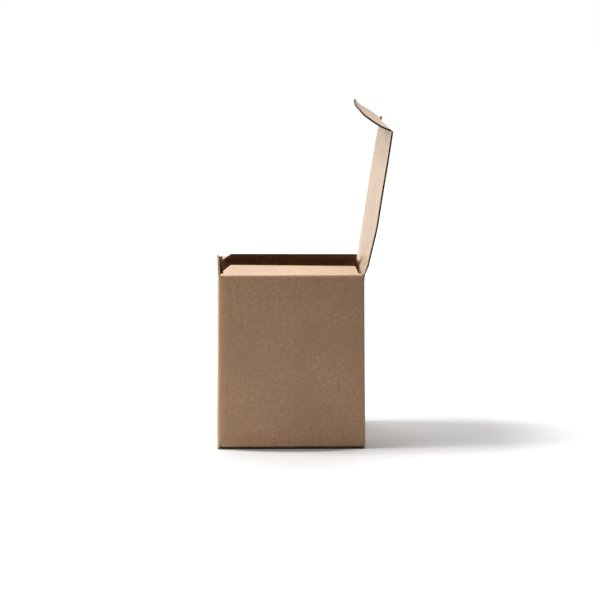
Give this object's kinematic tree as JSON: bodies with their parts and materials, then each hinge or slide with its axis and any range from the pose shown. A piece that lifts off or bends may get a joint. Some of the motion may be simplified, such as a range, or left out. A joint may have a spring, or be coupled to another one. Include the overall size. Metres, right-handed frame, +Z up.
{
  "type": "mug box",
  "caption": "Upright tuck-end carton of thin fluted board for one mug, open at the top, with a hinged lid, a tuck flap and dust flaps.",
  "frame": {"origin": "on the floor, under the centre of the four walls", "axes": "+Z up, -Y out of the front wall, +X out of the wall that carries the lid"},
  "size_m": [0.1065, 0.12, 0.2064],
  "materials": {
    "kraft_board": "matte"
  },
  "bodies": {
    "carton": {"carton_walls": "kraft_board"},
    "lid": {"lid": "kraft_board"},
    "tuck_flap": {"tuck_flap": "kraft_board"},
    "front_dust_flap": {"front_dust_flap": "kraft_board"},
    "back_dust_flap": {"back_dust_flap": "kraft_board"},
    "bottom_panel": {"bottom_panel": "kraft_board"}
  },
  "joints": [
    {"name": "lid_hinge", "type": "hinge", "parent": "carton", "child": "lid", "pos_m": [0.04445, 0, 0.10775], "axis": [0, 1, 0], "range_deg": [-100.8, 79.2]},
    {"name": "tuck_fold", "type": "hinge", "parent": "lid", "child": "tuck_flap", "pos_m": [0.06085, 0, 0.1937], "axis": [0, 1, 0], "range_deg": [-35.4, 27.8]},
    {"name": "front_dust_fold", "type": "hinge", "parent": "carton", "child": "front_dust_flap", "pos_m": [0, -0.05945, 0.10635], "axis": [1, 0, 0], "range_deg": [-1.5, 1.2]},
    {"name": "back_dust_fold", "type": "hinge", "parent": "carton", "child": "back_dust_flap", "pos_m": [0, 0.05945, 0.10635], "axis": [-1, 0, 0], "range_deg": [-8.2, 6.5]},
    {"name": "bottom_hinge", "type": "hinge", "parent": "carton", "child": "bottom_panel", "pos_m": [0.04445, 0, 0.00055], "axis": [0, -1, 0], "range_deg": [0, 180]}
  ],
  "couplings": [
    {"joint": "tuck_fold", "follows": "lid_hinge", "ratio": 0.35},
    {"joint": "front_dust_fold", "follows": "lid_hinge", "ratio": 0.0139},
    {"joint": "back_dust_fold", "follows": "lid_hinge", "ratio": 0.08}
  ]
}
